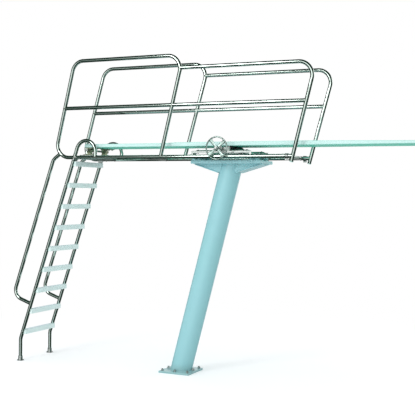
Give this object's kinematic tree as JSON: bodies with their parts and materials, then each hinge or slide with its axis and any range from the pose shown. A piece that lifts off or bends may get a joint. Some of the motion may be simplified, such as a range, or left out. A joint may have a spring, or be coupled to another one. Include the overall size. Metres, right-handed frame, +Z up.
{
  "type": "diving board stand",
  "caption": "High springboard diving stand: leaning pipe pedestal, tube guard rails and ladder, hinged board, and a fulcrum roller moved by a hand wheel.",
  "frame": {"origin": "middle of the pedestal base plate's underside, on the deck", "axes": "+Z up, +X towards the tip of the board, -Y the side with the hand wheel"},
  "size_m": [5.9175, 0.8572, 4.0305],
  "materials": {
    "aqua_paint": "satin paint",
    "stainless": "brushed",
    "polished_tube": "polished",
    "tread_plastic": "moulded, fine grain",
    "cast_bracket": "cast, weathered",
    "board_paint": "baked paint",
    "board_grit": "gritted coating",
    "cap_plastic": "moulded",
    "black_rubber": "matt",
    "liner_plastic": "machined",
    "core_aluminium": "turned",
    "wheel_paint": "cast, painted"
  },
  "bodies": {
    "stand": {"base_plate": "aqua_paint", "anchor_nuts": "stainless", "pedestal_tube": "aqua_paint", "head_plate": "aqua_paint", "head_skirts": "aqua_paint", "gusset_webs": "aqua_paint", "gusset_flanges": "aqua_paint", "head_saddles": "aqua_paint", "saddle_straps": "stainless", "saddle_bolts": "stainless", "stringer_near": "polished_tube", "stringer_far": "polished_tube", "cross_ties": "stainless", "guard_rear_near": "polished_tube", "guard_rear_far": "polished_tube", "guard_front_near": "polished_tube", "guard_front_far": "polished_tube", "mid_rails_near": "polished_tube", "mid_rails_far": "polished_tube", "front_collars": "stainless", "frame_bolts": "stainless", "ladder_rail_near": "polished_tube", "ladder_rail_far": "polished_tube", "ladder_hoops": "polished_tube", "ladder_handrails": "polished_tube", "ladder_splices": "stainless", "ladder_feet": "stainless", "tread_1": "tread_plastic", "tread_2": "tread_plastic", "tread_3": "tread_plastic", "tread_4": "tread_plastic", "tread_5": "tread_plastic", "tread_6": "tread_plastic", "tread_7": "tread_plastic", "tread_8": "tread_plastic", "tread_9": "tread_plastic", "tread_bolts": "stainless", "track_rails": "polished_tube", "racks": "stainless", "rail_bumpers": "black_rubber", "hinge_plate": "stainless", "hinge_bases": "cast_bracket", "hinge_bolts": "stainless", "hinge_pin": "stainless", "pin_collars": "stainless"},
    "carriage": {"slide_blocks": "stainless", "block_liners": "liner_plastic", "carriage_tie": "stainless", "roller_axle": "stainless"},
    "roller": {"roller_core": "core_aluminium", "roller_cover": "black_rubber"},
    "drive": {"drive_shaft": "stainless", "pinions": "stainless", "hand_wheel": "wheel_paint", "wheel_nut": "stainless"},
    "board": {"hinge_leaves": "cast_bracket", "board_bolts": "stainless", "board_plank": "board_paint", "board_surface": "board_grit", "board_tip_cap": "cap_plastic"}
  },
  "joints": [
    {"name": "fulcrum_slide", "type": "slide", "parent": "stand", "child": "carriage", "axis": [1, 0, 0], "range_m": [-0.28, 0.22]},
    {"name": "wheel_turn", "type": "hinge", "parent": "carriage", "child": "drive", "pos_m": [0.642, 0, 2.849], "axis": [0, 1, 0], "range_deg": [-540, 425]},
    {"name": "roller_spin", "type": "hinge", "parent": "carriage", "child": "roller", "pos_m": [0.72, 0, 2.8468], "axis": [0, 1, 0], "continuous": true},
    {"name": "board_hinge", "type": "hinge", "parent": "stand", "child": "board", "pos_m": [-1.29, 0, 2.848], "axis": [0, -1, 0], "range_deg": [0, 35]}
  ],
  "couplings": [
    {"joint": "wheel_turn", "follows": "fulcrum_slide", "rad_per_m": 33.333}
  ]
}
